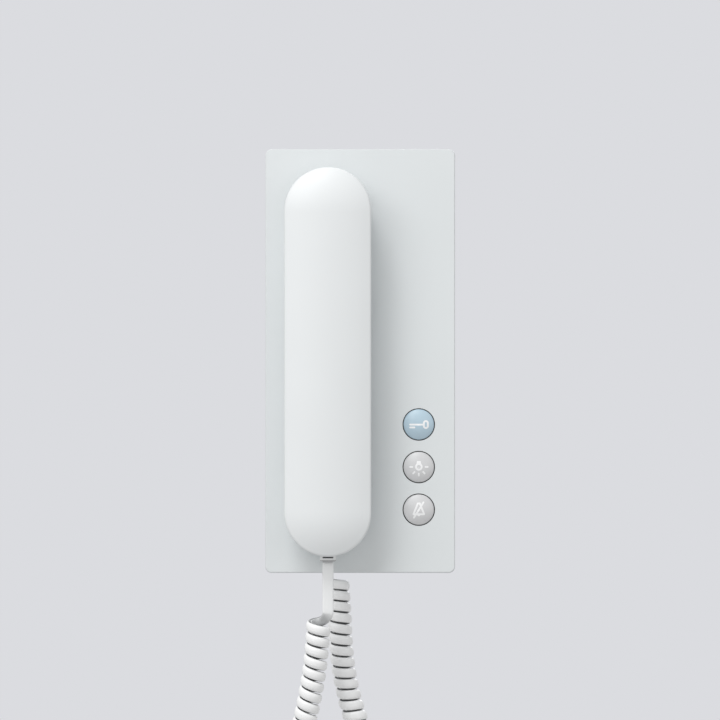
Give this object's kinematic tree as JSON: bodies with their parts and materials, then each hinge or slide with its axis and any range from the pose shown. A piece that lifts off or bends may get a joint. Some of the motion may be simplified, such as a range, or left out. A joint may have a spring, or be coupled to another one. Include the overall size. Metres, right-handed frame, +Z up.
{
  "type": "wall intercom handset",
  "caption": "Wall-mounted audio intercom: flat white housing, lift-off capsule handset on the left, round push buttons at the lower right and a hanging curly cord.",
  "frame": {"origin": "centre of the flat face that lies on the wall", "axes": "+X to the right seen from the front, +Y into the wall, +Z up"},
  "size_m": [0.09, 0.046, 0.3239],
  "materials": {
    "housing_white": "fine satin moulded ABS, white",
    "handset_white": "satin moulded ABS, warm white",
    "button_blue": "satin light blue with a white pictogram",
    "button_grey": "satin mid grey with a white pictogram",
    "cord_white": "soft satin PVC, white",
    "plug_clear": "glossy moulded plug, white",
    "socket_black": "black moulded socket",
    "inner_plastic": "dark moulded plastic",
    "terminal_green": "green moulded terminal block",
    "board_green": "green laminate with solder resist",
    "chip_black": "black moulded package",
    "screw_steel": "zinc-plated steel",
    "weight_steel": "bare steel bar",
    "can_aluminium": "drawn aluminium can",
    "capsule_plastic": "black capsule",
    "speaker_steel": "painted steel basket with a paper cone",
    "soft_rubber": "soft black rubber"
  },
  "bodies": {
    "root": {"front_cover": "housing_white", "base_plate": "housing_white", "push_switches": "chip_black", "hook_switch": "chip_black", "circuit_board": "board_green", "board_screws": "screw_steel", "terminal_block": "terminal_green", "terminal_screws": "screw_steel", "control_chip": "chip_black", "capacitors": "can_aluminium", "ringer_speaker": "speaker_steel", "base_socket": "socket_black", "base_plug": "plug_clear", "cord_lead_base": "cord_white", "cord_coil": "cord_white"},
    "handset": {"handset_front_shell": "handset_white", "handset_rear_shell": "handset_white", "handset_screws": "screw_steel", "receiver": "capsule_plastic", "receiver_gasket": "soft_rubber", "microphone": "can_aluminium", "microphone_grommet": "soft_rubber", "handset_weight": "weight_steel", "handset_socket": "socket_black", "handset_plug": "plug_clear", "cord_lead_handset": "cord_white"},
    "hook_plunger": {"hook_plunger": "inner_plastic"},
    "door_button": {"door_button": "button_blue", "door_plunger": "inner_plastic"},
    "light_button": {"light_button": "button_grey", "light_plunger": "inner_plastic"},
    "mute_button": {"mute_button": "button_grey", "mute_plunger": "inner_plastic"}
  },
  "joints": [
    {"name": "handset_lift", "type": "slide", "parent": "root", "child": "handset", "axis": [0, -0.7071, 0.7071], "range_m": [0, 0.06]},
    {"name": "hook_slide", "type": "slide", "parent": "root", "child": "hook_plunger", "axis": [0, -1, 0], "range_m": [0, 0.0025]},
    {"name": "door_press", "type": "slide", "parent": "root", "child": "door_button", "axis": [0, 1, 0], "range_m": [0, 0.001], "stiffness_N_per_m": 800, "springref_m": -0.001},
    {"name": "light_press", "type": "slide", "parent": "root", "child": "light_button", "axis": [0, 1, 0], "range_m": [0, 0.001], "stiffness_N_per_m": 800, "springref_m": -0.001},
    {"name": "mute_press", "type": "slide", "parent": "root", "child": "mute_button", "axis": [0, 1, 0], "range_m": [0, 0.001], "stiffness_N_per_m": 800, "springref_m": -0.001}
  ],
  "couplings": [
    {"joint": "hook_slide", "follows": "handset_lift", "ratio": 0.04166}
  ]
}
